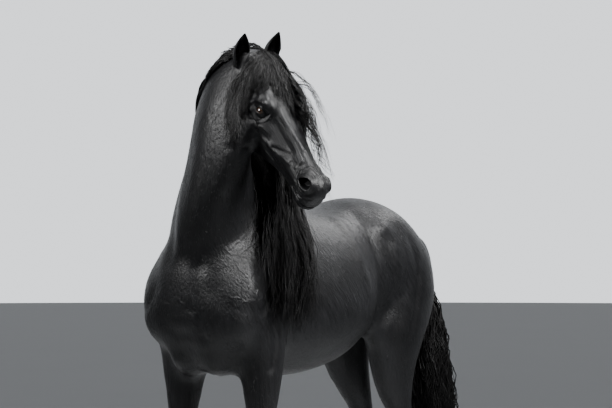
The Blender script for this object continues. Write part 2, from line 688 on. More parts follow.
def refine(mesh, chosen):
    """Splits the faces in the chosen places in four; chosen tells it for an array of points."""
    inside = chosen(points_of(mesh))
    bm = bmesh.new()
    bm.from_mesh(mesh)
    bm.edges.ensure_lookup_table()
    edges = [edge for edge in bm.edges if inside[edge.verts[0].index] and inside[edge.verts[1].index]]
    bmesh.ops.subdivide_edges(bm, edges=edges, cuts=1, use_grid_fill=True)
    bm.to_mesh(mesh)
    bm.free()
    soften(mesh, 3, chosen(points_of(mesh)) * 0.8)


def near_path(points, path, reach):
    """The points within reach of a path, and how far each of those is from it."""
    path = np.array([tuple(place) for place in path])
    low, high = path.min(0) - reach, path.max(0) + reach
    found = np.flatnonzero(((points > low) & (points < high)).all(1))
    near = points[found]
    best = np.full(len(found), 1e9)
    for a, b in zip(path, path[1:]):
        run = b - a
        share = np.clip((near - a) @ run / max(run @ run, 1e-12), 0, 1)
        best = np.minimum(best, np.linalg.norm(near - a - share[:, None] * run, axis=1))
    close = best < reach
    return found[close], best[close]


def bell(distance, width):
    """A soft hump of height 1, by the distance from its middle."""
    return np.exp(-((distance / width) ** 2))


def add_relief(mesh, path, width, height):
    """Raises a soft ridge along a path, or sinks a furrow where the height is below zero."""
    points = points_of(mesh)
    found, far = near_path(points, path, width * 2.6)
    points[found] += normals_of(mesh)[found] * (height * bell(far, width))[:, None]
    move_points(mesh, points)


def tree_of(mesh, shift=None):
    """A tree over a mesh, which is looked at from a shifted place if that is given."""
    bm = bmesh.new()
    bm.from_mesh(mesh)
    if shift:
        bm.transform(Matrix.Translation(shift))
    tree = BVHTree.FromBMesh(bm)
    bm.free()
    return tree


def on_cheek(tree, along, depth, side):
    """The place on the skin at the side of the head."""
    hit = tree.ray_cast(head_point(along, depth, 0.3 * side), -HEAD_LEFT * side)[0]
    return hit or head_point(along, depth, 0.05 * side)


def dense_path(places):
    """A smooth path through a few places."""
    rows = smooth_rows([tuple(place) for place in places], 6)
    return [Vector(row) for row in rows]


def seen_path(tree, places, aside=0.0, lift=0.0):
    """The path over the skin through places of the picture, moved aside across it and lifted.
    A line of sight that passes the horse goes to the skin nearest to it at the head."""
    hits = []
    far = CAMERA_DISTANCE - camera_axes()[0].dot(POLL)
    for across, down in places:
        start, way = camera_ray(across + aside, down)
        hit, normal, _, _ = tree.ray_cast(start, way)
        if not hit:
            hit, normal, _, _ = tree.find_nearest(start + way * far)
        hits.append(hit + normal * lift)
    return dense_path(hits)


def mouth_path(tree, rise=0.0):
    """The line between the lips, from one corner of the mouth round the front to the other."""
    path = []
    for k in range(41):
        share = abs(k / 20 - 1)
        turn = math.radians(MOUTH_TURN) * (k / 20 - 1)
        middle = head_point(MOUTH_FRONT[0], MOUTH_FRONT[1] + MOUTH_DROP * share * share - rise, 0)
        way = ALONG * math.cos(turn) + HEAD_LEFT * math.sin(turn)
        hit = tree.ray_cast(middle + way * 0.2, -way)[0]
        if hit:
            path.append(hit)
    return path


def eye_axes(side):
    """Out of the eye, towards the muzzle along the opening, and up across it."""
    out = (HEAD_LEFT * side + OUTWARD * 0.25).normalized()
    fore = (ALONG - out * ALONG.dot(out)).normalized()
    up = out.cross(fore) * side
    up = up if up.dot(OUTWARD) > 0 else -up
    tilted = fore * math.cos(EYE_TILT) + up * math.sin(EYE_TILT)
    return out, tilted, up * math.cos(EYE_TILT) - fore * math.sin(EYE_TILT)


def lid_edge(along):
    """Heights of the upper and the lower lid's edge along the eye's opening."""
    half, rise, drop = EYE_OPENING
    arch = np.clip(1 - (along / half) ** 2, 0, 1)
    return rise * arch**0.75 * (1 - 0.18 * along / half), -drop * arch**0.85


def shape_eye(mesh, side):
    """Lids that stand on the eyeball, with folds above and below, and an opening that shows it."""
    out, fore, up = eye_axes(side)
    points = points_of(mesh)
    centre = np.array(eye_centre(side))
    local = (points - centre) @ np.array((fore, up, out)).T
    u, v, w = local.T
    ring = np.hypot(u, v)
    found = np.flatnonzero((ring < 0.045) & (w > -0.02) & (w < 0.06))
    u, v, w, ring = u[found], v[found], w[found], ring[found]
    upper, lower = lid_edge(u)
    inside = np.minimum(upper - v, v - lower)
    inside = np.where(np.abs(u) > EYE_OPENING[0], -np.hypot(np.abs(u) - EYE_OPENING[0], v), inside)
    lid = np.sqrt(np.clip((EYE_RADIUS + LID_THICKNESS) ** 2 - ring**2, 0, None))
    blend = np.clip(0.5 + 0.5 * (lid - w) / LID_BLEND, 0, 1)
    shaped = w * (1 - blend) + lid * blend + LID_BLEND * blend * (1 - blend)
    above, below = (sum(bell(inside + far, width) * height for far, width, height in folds)
                    for folds in (UPPER_FOLDS, LOWER_FOLDS))
    shaped += bell(inside + 0.0022, 0.0018) * 0.0012 + np.where(v > 0, above, below)
    ball = np.sqrt(np.clip(EYE_RADIUS**2 - ring**2, 0, None))
    opened = np.clip((inside + 0.0004) / 0.0012, 0, 1)
    shaped = shaped * (1 - opened) + (ball - 0.004) * opened
    points[found] += (shaped - w)[:, None] * np.array(out)
    move_points(mesh, points)


def nostril_place(side, across=NOSTRIL_SKIN):
    """The middle of a nostril, at a distance across the head."""
    return head_point(NOSTRIL[0], NOSTRIL[1], across * side)


def shape_nostril(mesh, side):
    """A large, open nostril: a raised rim, a deep hollow, and a fold at its upper end."""
    centre = np.array(nostril_place(side, NOSTRIL[2]))
    out = (HEAD_LEFT * side + ALONG * 0.45 + OUTWARD * 0.25).normalized()
    slant = math.radians(30)
    run = ALONG * math.cos(slant) + OUTWARD * math.sin(slant)
    run = (run - out * run.dot(out)).normalized()
    over = out.cross(run)
    points = points_of(mesh)
    u, v, w = ((points - centre) @ np.array((run, over, out)).T).T
    found = np.flatnonzero((np.hypot(u, v) < 0.062) & (w > -0.035) & (w < 0.04))
    u, v, w = u[found], v[found], w[found]
    half, wide = NOSTRIL_HALVES[0], NOSTRIL_HALVES[1] * (1 + 0.24 * u / 0.030)
    ring = np.sqrt((u / half) ** 2 + (v / wide) ** 2)
    rim = 0.0048 * bell(ring - 1.18, 0.20) - 0.0024 * bell(ring - 1.75, 0.22)
    hollow = -0.034 * np.clip((1.03 - ring) / 0.42, 0, 1) ** 0.8
    points[found] += (rim + hollow)[:, None] * np.array(out)
    move_points(mesh, points)


def flesh_mesh(voxel):
    """The whole of the horse without hooves, ears, eyes and hair, as one soft closed mesh."""
    bm = bmesh.new()
    for rings in (trunk_rings(), neck_rings(), head_rings(), dock_rings()):
        add_loft(bm, rings)
    for leg in STRIDE:
        add_loft(bm, leg_rings(leg))
    for mirror in SIDES.values():
        add_muscles(bm, mirror)
    fused = mesh_object("flesh", bm)
    fuse = fused.modifiers.new("fuse", "REMESH")
    fuse.mode = "VOXEL"
    fuse.voxel_size = voxel
    mesh = evaluated_copy(fused)
    bpy.data.objects.remove(fused)
    soften(mesh, round(50 * (0.0085 / voxel) ** 2), softness(points_of(mesh)))
    return mesh


def shape_head(mesh):
    """Refines the head and gives it relief, lids, nostrils and lips."""

    def on_head(points):
        along, depth, side = in_head_axes(points).T
        return (along > 0.03) & (along < 0.70) & (depth > -0.06) & (depth < 0.31) & (np.abs(side) < 0.13)

    refine(mesh, on_head)
    tree = tree_of(mesh)
    line = mouth_path(tree)
    spots = [np.array(eye_centre(side)) for side in SIDES.values()]
    spots += [np.array(nostril_place(side)) for side in SIDES.values()]
    for reach, by_mouth in ((0.060, 0.020), (0.042, 0.008)):
        def close_by(points):
            near = np.zeros(len(points), bool)
            for spot in spots:
                near |= np.linalg.norm(points - spot, axis=1) < reach
            near[near_path(points, line, by_mouth)[0]] = True
            return near

        refine(mesh, close_by)
    tree = tree_of(mesh)
    lips = [(line, 0.0022, -0.0060), (mouth_path(tree, LIP_RISE), 0.0060, 0.0022),
            (mouth_path(tree, -LIP_RISE), 0.0060, 0.0024)]
    for side in SIDES.values():
        for places, width, height in HEAD_RELIEF:
            path = dense_path([on_cheek(tree, along, depth, side) for along, depth in places])
            add_relief(mesh, path, width, height)
    for places, width, height in HEAD_SEEN:
        path = seen_path(tree, places)
        local = in_head_axes(np.array([tuple(place) for place in path])) * (1, 1, -1)
        mirrored = [tree.find_nearest(head_point(*place))[0] for place in local]
        for way in (path, mirrored):
            add_relief(mesh, way, width, height)
    for side in SIDES.values():
        shape_nostril(mesh, side)
    for path, width, height in lips:
        add_relief(mesh, path, width, height)
    for side in SIDES.values():
        shape_eye(mesh, side)


def shape_body(mesh):
    """Furrows and swellings of the muscles, on the side that the picture shows and mirrored to the other."""
    tree = tree_of(mesh)
    for places, width, height in BODY_RELIEF:
        hits = [tree.ray_cast(*camera_ray(*place))[0] for place in places]
        seen = [hit for hit in hits if hit]
        if len(seen) < 2:
            continue
        add_relief(mesh, dense_path(seen), width, height)
        if abs(seen[0].y) > MIDDLE_REACH:
            mirrored = [tree.find_nearest(Vector((hit.x, -hit.y, hit.z)))[0] for hit in seen]
            add_relief(mesh, dense_path(mirrored), width, height)


def join_ears(mesh, length):
    """The skin with both ears joined to it, without a seam."""
    bm = bmesh.new()
    bm.from_mesh(mesh)
    skin = mesh_object("skin", bm, True)
    for side in SIDES.values():
        bm = bmesh.new()
        add_ear(bm, side, length)
        ear = mesh_object("ear", bm, True)
        join = skin.modifiers.new("join", "BOOLEAN")
        join.operation = "UNION"
        join.solver = "MANIFOLD"
        join.object = ear
        joined = evaluated_copy(skin)
        skin.modifiers.clear()
        skin.data = joined
        bpy.data.objects.remove(ear)
    points = points_of(skin.data)
    weights = np.zeros(len(points))
    for side in SIDES.values():
        root = np.array(head_point(EAR_ROOT[0], EAR_ROOT[1] - 0.05, EAR_ROOT[2] * side))
        weights = np.maximum(weights, np.clip(1.4 - np.linalg.norm(points - root, axis=1) / 0.04, 0, 1))
    soften(skin.data, 8, weights)
    return skin


LIES = {"body": (-0.62, 0.0, -0.78), "leg": (-0.12, 0.0, -1.0), "neck": (-0.30, -0.20, -0.93), "head": ALONG}


def lie_shares(points):
    """How much each place is of the legs, of the neck and of the head, where the coat lies another way."""
    along, depth, side = in_head_axes(points).T
    leg = np.clip((1.15 - points[:, 2]) / 0.25, 0, 1) * np.where(points[:, 2] < 0.9, 1, 0.6)
    neck = np.clip((points[:, 2] - 1.35) / 0.25, 0, 1) * np.clip((points[:, 0] - 0.25) / 0.2, 0, 1)
    head = np.clip((along - 0.06) / 0.12, 0, 1) * ((np.abs(side) < 0.14) & (depth < 0.32))
    return np.stack((leg, neck, head), 1)


def lie_of(points, normals):
    """The direction in which the short coat lies at each place."""
    shares = lie_shares(points)
    lie = np.tile(np.array(LIES["body"]), (len(points), 1))
    for k, name in enumerate(("leg", "neck", "head")):
        share = shares[:, k:k + 1]
        lie = lie * (1 - share) + np.array(tuple(LIES[name])) * share
    lie -= normals * (lie * normals).sum(1)[:, None]
    return lie / np.maximum(np.linalg.norm(lie, axis=1), 1e-6)[:, None]


def finish_piece(obj, name, finish, slot, *nodes):
    """Carries a piece into the frame, paints it, and says what it rides on and stands for."""
    obj.name = name
    obj.data.name = name
    obj.data.transform(Matrix.Translation(SHIFT))
    obj.data.materials.clear()
    obj.data.materials.append(finish)
    obj.data.shade_smooth()
    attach(obj, BODY)
    if nodes:
        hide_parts(*nodes)


class Wire:
    """An output of a material's graph that can be used in sums."""

    def __init__(self, finish, socket):
        self.finish = finish
        self.socket = socket

    def maths(self, operation, *values):
        return self.finish.node("ShaderNodeMath", {"operation": operation}, dict(enumerate(values)))

    def parts(self):
        """The three parts of this one as a vector."""
        split = self.finish.node("ShaderNodeSeparateXYZ", values={0: self})
        return [Wire(self.finish, socket) for socket in split.socket.node.outputs]

    def __add__(self, other):
        return self.maths("ADD", self, other)

    def __radd__(self, other):
        return self.maths("ADD", other, self)

    def __sub__(self, other):
        return self.maths("SUBTRACT", self, other)

    def __rsub__(self, other):
        return self.maths("SUBTRACT", other, self)

    def __mul__(self, other):
        return self.maths("MULTIPLY", self, other)

    def __rmul__(self, other):
        return self.maths("MULTIPLY", other, self)

    def between(self, low, high, at_low=0.0, at_high=1.0):
        """A smooth step from one number to another as this one goes from low to high."""
        return self.finish.node("ShaderNodeMapRange", {"interpolation_type": "SMOOTHSTEP"},
                                {0: self, 1: low, 2: high, 3: at_low, 4: at_high})


class Finish:
    """A material that is being made."""

    def __init__(self, name, **constants):
        self.material = bpy.data.materials.new(name)
        self.material.use_nodes = True
        self.tree = self.material.node_tree
        self.shader = self.tree.nodes["Principled BSDF"]
        for key, value in constants.items():
            self.feed(self.shader.inputs[key.replace("_", " ")], value)

    def node(self, kind, settings=None, values=None, output=0):
        made = self.tree.nodes.new(kind)
        for key, value in (settings or {}).items():
            setattr(made, key, value)
        for key, value in (values or {}).items():
            self.feed(made.inputs[key], value)
        return Wire(self, made.outputs[output])

    def feed(self, socket, value):
        if isinstance(value, Wire):
            self.tree.links.new(value.socket, socket)
        else:
            socket.default_value = value

    def give(self, name, value):
        self.feed(self.shader.inputs[name], value)

    def place(self):
        return self.node("ShaderNodeTexCoord", output="Object")

    def attribute(self, name, output="Fac"):
        return self.node("ShaderNodeAttribute", {"attribute_name": name}, output=output)

    def noise(self, place, scale, detail=2.0):
        return self.node("ShaderNodeTexNoise", values={"Vector": place, "Scale": scale, "Detail": detail})

    def blend(self, share, low, high):
        """A mix of two colours, each a constant or a wire."""
        low, high = (colour if isinstance(colour, Wire) else (*colour, 1) for colour in (low, high))
        return self.node("ShaderNodeMix", {"data_type": "RGBA"}, {0: share, 6: low, 7: high}, 2)

    def streaks(self, place, lie):
        """Fine and broad streaks that run along a direction."""
        turn = Vector(lie).to_track_quat("X", "Z").to_euler()
        drawn = self.node("ShaderNodeMapping", {"vector_type": "TEXTURE"},
                          {"Vector": place, "Rotation": tuple(turn), "Scale": (11.0, 1.0, 1.0)})
        return self.noise(drawn, 520.0, 2.0), self.noise(drawn, 120.0, 3.0)

    def bump(self, height):
        values = {"Height": height, "Strength": 0.8, "Distance": 1.0}
        self.give("Normal", self.node("ShaderNodeBump", values=values))


def darker(colour, share=0.4):
    """A colour with each of its parts at a share, which is above 1 for a lighter one."""
    return tuple(part * share for part in colour)


def coat_finish(colour):
    """Short black hair: streaks along its lie, veins and wrinkles under it, and a soft gloss."""
    finish = Finish("short_coat", Specular_IOR_Level=0.22)
    place = finish.place()
    grain, locks = finish.streaks(place, LIES["body"])
    for share, name in zip(finish.attribute("region", "Vector").parts(), ("leg", "neck", "head")):
        fine, broad = finish.streaks(place, LIES[name])
        grain = grain * (1 - share) + fine * share
        locks = locks * (1 - share) + broad * share
    patches = finish.noise(place, 5.0, 4.0)
    drift = finish.node("ShaderNodeTexNoise", values={"Vector": place, "Scale": 7.0, "Detail": 2.0},
                        output=1)
    bent = finish.node("ShaderNodeVectorMath", {"operation": "MULTIPLY_ADD"},
                       {0: drift, 1: (0.16, 0.16, 0.16), 2: place})
    cells = finish.node("ShaderNodeTexVoronoi", {"feature": "DISTANCE_TO_EDGE"},
                        {"Vector": bent, "Scale": 8.0})
    veined = finish.attribute("veins") * finish.noise(place, 3.1, 1.0).between(0.44, 0.60)
    veins = cells.between(0.0, 0.085, 1.0, 0.0) * veined
    wrinkles = finish.noise(place, 44.0, 3.0) * finish.attribute("veins")
    shaded = patches.between(0.35, 0.65) * locks.between(0.3, 0.7)
    finish.give("Base Color", finish.blend(shaded, darker(colour), colour))
    finish.give("Roughness", 0.27 + 0.10 * patches + 0.28 * locks)
    finish.bump(grain * 0.0006 + locks * 0.0030 + veins * 0.0015 + wrinkles * 0.0003)
    return finish.material


def hair_finish(name, colour, roughness, gloss=0.11):
    """Long black hair, each tuft a little lighter or darker than the next."""
    finish = Finish(name, Specular_IOR_Level=gloss)
    shade = finish.attribute("shade")
    finish.give("Base Color", finish.blend(shade, darker(colour), colour))
    finish.give("Roughness", roughness + 0.14 * shade)
    return finish.material


def strand_object(name, points, outs, widths, roots, shades, finish, crown=0.7):
    """One piece made of many thin closed tufts: points and outs are counted by tuft, step and axis."""
    count, steps, _ = points.shape
    ahead = np.gradient(points, axis=1)
    ahead /= np.maximum(np.linalg.norm(ahead, axis=2), 1e-9)[:, :, None]
    across = np.cross(ahead, outs)
    across /= np.maximum(np.linalg.norm(across, axis=2), 1e-9)[:, :, None]
    over = np.cross(across, ahead)
    half = widths[:, :, None] / 2
    rings = np.stack((points + across * half, points + over * half * crown, points - across * half), axis=2)
    base = np.arange(count)[:, None, None] * steps * 3
    ring = np.arange(steps - 1)[None, :, None] * 3
    corner = np.arange(3)[None, None, :]
    following = (corner + 1) % 3
    a, b = base + ring + corner, base + ring + following
    c, d = b + 3, a + 3
    sides = np.stack((np.stack((a, d, c), -1), np.stack((a, c, b), -1)), 3).reshape(-1, 3)
    first = (np.arange(count) * steps * 3)[:, None]
    caps = np.concatenate((first + [0, 1, 2], first + (steps - 1) * 3 + [2, 1, 0]))
    faces = np.concatenate((sides, caps))
    mesh = bpy.data.meshes.new(name)
    mesh.vertices.add(count * steps * 3)
    mesh.vertices.foreach_set("co", rings.reshape(-1, 3).astype(np.float32).ravel())
    mesh.loops.add(len(faces) * 3)
    mesh.loops.foreach_set("vertex_index", faces.astype(np.int32).ravel())
    mesh.polygons.add(len(faces))
    mesh.polygons.foreach_set("loop_start", np.arange(len(faces), dtype=np.int32) * 3)
    mesh.update(calc_edges=True)
    share = np.arange(steps) / (steps - 1)
    places = np.empty((count, steps, 3, 2))
    places[..., 0] = roots[:, 0, None, None] + PATCH * np.array((0.0, 0.5, 1.0))[None, None, :]
    places[..., 1] = roots[:, 1, None, None] + PATCH * share[None, :, None]
    layer = mesh.uv_layers.new(name="OFBake")
    layer.data.foreach_set("uv", places.reshape(-1, 2)[faces.ravel()].astype(np.float32).ravel())
    shade = mesh.attributes.new("shade", "FLOAT", "POINT")
    shade.data.foreach_set("value", np.repeat(shades, steps * 3).astype(np.float32))
    obj = bpy.data.objects.new(name, mesh)
    bpy.context.scene.collection.objects.link(obj)
    finish_piece(obj, name, finish, "coat")


def unwrap_places(points, normals):
    """Where each root lies on an unwrap of the skin: six sides of its shape, laid out without overlap."""
    axis = np.abs(normals).argmax(1)
    facing = np.take_along_axis(normals, axis[:, None], 1)[:, 0] > 0
    across = np.where(axis == 0, points[:, 1] + 0.5, (points[:, 0] + 1.15) / 2)
    down = np.where(axis == 2, points[:, 1] + 0.5, points[:, 2] / 2.3)
    return np.stack(((axis + np.clip(across, 0, 0.98)) / 3, (facing + np.clip(down, 0, 0.98)) / 2), 1)


def skin_tree():
    """A tree over the finished skin, in the horse's own place."""
    return tree_of(bpy.data.objects["skin"].data, -SHIFT)


def fall(tree, start, heading, length, steps, droop, drift, lift, hug=0.0):
    """The path of a lock: it bends towards the ground, drifts, and stays outside the body by its lift.
    Hug is how much it is drawn back to that distance from the body at each step."""
    points = [start]
    way = heading.normalized()
    point = start
    for _ in range(steps):
        way = (way * (1 - droop) + (drift - UP) * droop).normalized()
        moved = point + way * (length / steps)
        near, normal, _, distance = tree.find_nearest(moved)
        if (moved - near).dot(normal) < 0 or distance < lift:
            moved = near + normal * lift
        elif hug:
            moved = moved.lerp(near + normal * lift, hug)
        way = (moved - point).normalized()
        point = moved
        points.append(point)
    return points


def crest_frame(share):
    """Root, left and crest direction on the neck's crest, from the poll at 0 to the withers at 1."""
    frames = neck_frames()
    place = (1 - share) * (len(frames) - 1 - CREST_END) + CREST_END
    low = min(int(place), len(frames) - 2)
    blend = place - low
    centre, left, crest, depth = [a * (1 - blend) + b * blend for a, b in
                                  zip(frames[low][:4], frames[low + 1][:4])]
    return centre + crest * depth * 0.92, left.normalized(), crest.normalized()


def within_box(points):
    """The points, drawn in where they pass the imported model's own box by more than a little."""
    low, high = (np.array(corner) - np.array(SHIFT) for corner in CAD_BOX)
    over, under = np.maximum(points - high, 0), np.maximum(low - points, 0)
    bent = points - over + HAIR_REACH * np.tanh(over / HAIR_REACH)
    bent = bent + under - HAIR_REACH * np.tanh(under / HAIR_REACH)
    bent[:, :, 2] = np.maximum(bent[:, :, 2], 0.003)
    return bent


class Hair:
    """Tufts that are gathered lock by lock and made into pieces."""

    def __init__(self, seed, steps):
        self.tree = skin_tree()
        self.draw = np.random.default_rng(seed)
        self.steps = steps
        self.points, self.outs, self.widths, self.shades = [], [], [], []

    def lock(self, path, kind, waves=None):
        """The tufts of one lock along its path: they spread, wave together and gather at their tips."""
        count, spread, width, wave, usual_waves, clump, root, loose = LOCKS[kind]
        count, waves, draw = int(count * HAIR_SHARE), waves or usual_waves, self.draw
        path = np.array([tuple(place) for place in path])
        run = np.concatenate(([0], np.cumsum(np.linalg.norm(np.diff(path, axis=0), axis=1))))
        share = np.linspace(0, 1, self.steps)
        reach = draw.uniform(0.62, 1.0, count) ** 0.6
        at = share[None, :] * reach[:, None] * run[-1]
        points = np.stack([np.interp(at, run, path[:, k]) for k in range(3)], -1)
        ahead = np.gradient(points, axis=1)
        ahead /= np.linalg.norm(ahead, axis=2)[:, :, None]
        facing = np.array(self.tree.find_nearest(Vector(path[len(path) // 2]))[1])
        side = np.cross(ahead, facing)
        side /= np.maximum(np.linalg.norm(side, axis=2), 1e-6)[:, :, None]
        over = np.cross(side, ahead)
        turn = draw.uniform(0, 2 * math.pi, count)
        far = np.sqrt(draw.uniform(0, 1, count))
        profile = root + (1 - root) * np.clip(share * 6, 0, 1)
        profile = profile * (1 - (1 - clump) * share**1.5)
        width_out = (spread * far * np.cos(turn))[:, None] * profile
        depth_out = (spread * 0.45 * far * np.sin(turn))[:, None] * profile
        phase = draw.uniform(0, 6.28) + draw.normal(0, 0.5, count)
        rate = waves * draw.uniform(0.85, 1.15, count)
        swing = wave * np.clip(share * 3, 0, 1)[None, :] * draw.uniform(0.5, 1.3, count)[:, None]
        turn_on = phase[:, None] + 2 * math.pi * rate[:, None] * share[None, :]
        width_out = width_out + swing * np.sin(turn_on)
        depth_out = depth_out + 0.5 * swing * np.cos(turn_on * 0.9)
        astray = draw.normal(0, loose, (count, 1)) * share[None, :] ** 2 * run[-1]
        width_out = width_out + astray * 0.5
        points = points + side * width_out[:, :, None] + over * depth_out[:, :, None]
        for k in range(count):
            for j in range(1, self.steps):
                place = Vector(points[k, j])
                near, normal, _, distance = self.tree.find_nearest(place, 0.08)
                if near and ((place - near).dot(normal) < 0 or distance < HAIR_GAP):
                    points[k, j] = near + normal * HAIR_GAP
        taper = np.clip(1.15 - share**2.2, 0.10, 1) * np.clip(0.5 + share * 6, 0, 1)
        self.points.append(points)
        self.outs.append(over)
        self.widths.append(width * draw.uniform(0.7, 1.3, count)[:, None] * taper[None, :])
        tone = draw.uniform(0.2, 0.8)
        self.shades.append(np.clip(tone + draw.normal(0, 0.18, count), 0, 1))

    def make(self, name, finish):
        """Makes the gathered tufts into as few pieces as the count of triangles allows."""
        points, outs = np.concatenate(self.points), np.concatenate(self.outs)
        widths, shades = np.concatenate(self.widths), np.concatenate(self.shades)
        points = within_box(points)
        starts = points[:, 0]
        normals = np.array([tuple(self.tree.find_nearest(Vector(place))[1]) for place in starts])
        roots = unwrap_places(starts, normals)
        each = 6 * (self.steps - 1) + 2
        parts = math.ceil(len(points) * each / PIECE_TRIANGLES)
        for k in range(parts):
            chosen = slice(k * len(points) // parts, (k + 1) * len(points) // parts)
            title = name if parts == 1 else f"{name}_{k + 1}"
            strand_object(title, points[chosen], outs[chosen], widths[chosen], roots[chosen], shades[chosen],
                          finish)


def length_property(name, description, default):
    return bpy.props.FloatProperty(name=name, description=description, default=default, unit="LENGTH")


def colour_property(name, description, default):
    return bpy.props.FloatVectorProperty(name=name, description=description, default=default,
                                         subtype="COLOR", size=3)


def count_property(name, description, default):
    return bpy.props.IntProperty(name=name, description=description, default=default)


class HorseSizes(bpy.types.PropertyGroup):
    """Sizes that shape the pieces."""

    voxel: length_property("Skin grid", "Spacing of the skin's points", 0.0117)
    coat_depth: length_property("Coat depth", "How far the skin lies inside the solids", 0.0015)
    ear_length: length_property("Ear length", "From the root in the head to the tip", 0.155)
    mane_at_poll: length_property("Mane at the poll", "Length of the mane's first locks", 1.42)
    mane_at_withers: length_property("Mane at the withers", "Length of the mane's last locks", 0.90)
    mane_locks: count_property("Mane locks", "Locks on the left of the neck", 62)
    tail_locks: count_property("Tail locks", "Locks round the tail", 60)
    tufts: count_property("Short tufts", "Tufts of the short coat", 27000)


class HorseColours(bpy.types.PropertyGroup):
    """Colours of the finishes."""

    coat: colour_property("Coat", "Short hair", (0.0036, 0.0037, 0.0044))
    hair: colour_property("Long hair", "Mane, forelock, tail and feather", (0.0032, 0.0030, 0.0031))
    horn: colour_property("Horn", "Hooves", (0.018, 0.016, 0.015))
    iris: colour_property("Iris", "Colour round the pupil", (0.065, 0.028, 0.010))
    floor: colour_property("Floor", "Stage floor", (0.46, 0.47, 0.48))


class HorseSkin(bpy.types.Operator):
    """Make the skin, with ears, lids, nostrils and lips"""

    bl_idname = "horse.skin"
    bl_label = "Skin"

    def execute(self, context):
        sizes, colours = context.scene.horse_sizes, context.scene.horse_colours
        mesh = flesh_mesh(sizes.voxel)
        move_points(mesh, points_of(mesh) - normals_of(mesh) * sizes.coat_depth)
        points = points_of(mesh)
        on_chest = np.clip((points[:, 0] - 0.42) / 0.12, 0, 1) * np.clip((points[:, 2] - 0.78) / 0.12, 0, 1)
        soften(mesh, 36, on_chest * np.clip((1.42 - points[:, 2]) / 0.15, 0, 1))
        shape_body(mesh)
        shape_head(mesh)
        skin = join_ears(mesh, sizes.ear_length)
        points = points_of(skin.data)
        region = skin.data.attributes.new("region", "FLOAT_VECTOR", "POINT")
        region.data.foreach_set("vector", lie_shares(points).astype(np.float32).ravel())
        veins = skin.data.attributes.new("veins", "FLOAT", "POINT")
        ahead = np.clip((points[:, 0] - 0.30) / 0.2, 0, 1) * np.clip((points[:, 2] - 0.95) / 0.2, 0, 1)
        below = np.clip((1.66 - points[:, 2]) / 0.3, 0.10, 1)
        veins.data.foreach_set("value", (0.15 + 0.85 * ahead * below).astype(np.float32))
        replaced = [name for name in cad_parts
                    if not name.startswith("eye") and not name.endswith("hoof")]
        finish_piece(skin, "skin", coat_finish(colours.coat), "coat", *replaced)
        return {"FINISHED"}


class HorseEyes(bpy.types.Operator):
    """Make both eyeballs"""

    bl_idname = "horse.eyes"
    bl_label = "Eyes"

    def execute(self, context):
        colour = context.scene.horse_colours.iris
        finish = Finish("eye", Roughness=0.04, Coat_Weight=1.0, Specular_IOR_Level=0.6)
        gaze = finish.attribute("gaze", "Vector")
        along, up, _ = gaze.parts()
        ring = gaze.maths("SQRT", along * along + up * up)
        aim = finish.node("ShaderNodeVectorMath", {"operation": "NORMALIZE"}, {0: gaze})
        streaks = finish.noise(aim, 14, 3)
        pupil = gaze.maths("SQRT", along * along * 0.45 + up * up * 2.6)
        iris = finish.blend(streaks, darker(colour, 0.35), colour)
        inner = finish.blend(pupil.between(0.30, 0.36), (0.002, 0.002, 0.003), iris)
        finish.give("Base Color", finish.blend(ring.between(0.66, 0.74), inner, (0.012, 0.008, 0.006)))
        for word, side in SIDES.items():
            facing, fore, up_way = eye_axes(side)
            bm = bmesh.new()
            turn = Matrix((fore, up_way, facing)).transposed().to_4x4()
            bmesh.ops.create_uvsphere(bm, u_segments=64, v_segments=40, radius=EYE_RADIUS - 0.0004)
            for vertex in bm.verts:
                height = max(0.0, vertex.co.z / EYE_RADIUS - 0.72)
                vertex.co *= 1 + 0.10 * height
            local = [vertex.co / EYE_RADIUS for vertex in bm.verts]
            bm.transform(Matrix.Translation(eye_centre(side)) @ turn)
            eye = mesh_object(f"eye_{word}_ball", bm)
            gaze_at = eye.data.attributes.new("gaze", "FLOAT_VECTOR", "POINT")
            directions = np.array([tuple(place) for place in local], np.float32)
            gaze_at.data.foreach_set("vector", directions.ravel())
            finish_piece(eye, f"eye_{word}_ball", finish.material, "eye", f"eye_{word}")
        return {"FINISHED"}


class HorseHooves(bpy.types.Operator):
    """Make the four hooves"""

    bl_idname = "horse.hooves"
    bl_label = "Hooves"

    def execute(self, context):
        colour = context.scene.horse_colours.horn
        finish = Finish("hoof_horn", Specular_IOR_Level=0.45)
        place = finish.place()
        height = place.parts()[2]
        slow = finish.noise(place, 12, 2)
        growth = height.maths("SINE", height * 620 + slow * 14)
        upright = finish.node("ShaderNodeMapping", values={"Vector": place, "Scale": (420, 420, 14)})
        fibres = finish.node("ShaderNodeTexNoise", values={"Vector": upright, "Scale": 1.0, "Detail": 3.0})
        dark_lines = fibres.between(0.3, 0.7) * slow
        finish.give("Base Color", finish.blend(dark_lines, darker(colour, 0.45), colour))
        finish.give("Roughness", 0.42 + 0.2 * fibres)
        finish.bump(growth * slow * 0.00016 + fibres * 0.0006)
        for leg in STRIDE:
            side = 1 if leg.endswith("left") else -1
            x, y = leg_centre(leg, CORONET_HEIGHT)
            rings = []
            for drop, depth, half, forward in smooth_rows(HOOF_ROWS, 6):
                ring = []
                for k in range(48):
                    angle = 2 * math.pi * k / 48
                    ahead = math.cos(angle)
                    reach = depth * (1 if ahead > 0 else HEEL_SHARE)
                    at = x + forward + reach * ahead
                    top = CORONET_HEIGHT + (at - x) * CORONET_SLOPE
                    ring.append(Vector((at, y + half * math.sin(angle) * side, top * (1 - min(drop, 1.0)))))
                rings.append(ring)
            bm = bmesh.new()
            add_loft(bm, rings)
            hoof = mesh_object(f"{leg}_horn", bm)
            finish_piece(hoof, f"{leg}_horn", finish.material, "horn", f"{leg}_hoof")
        return {"FINISHED"}


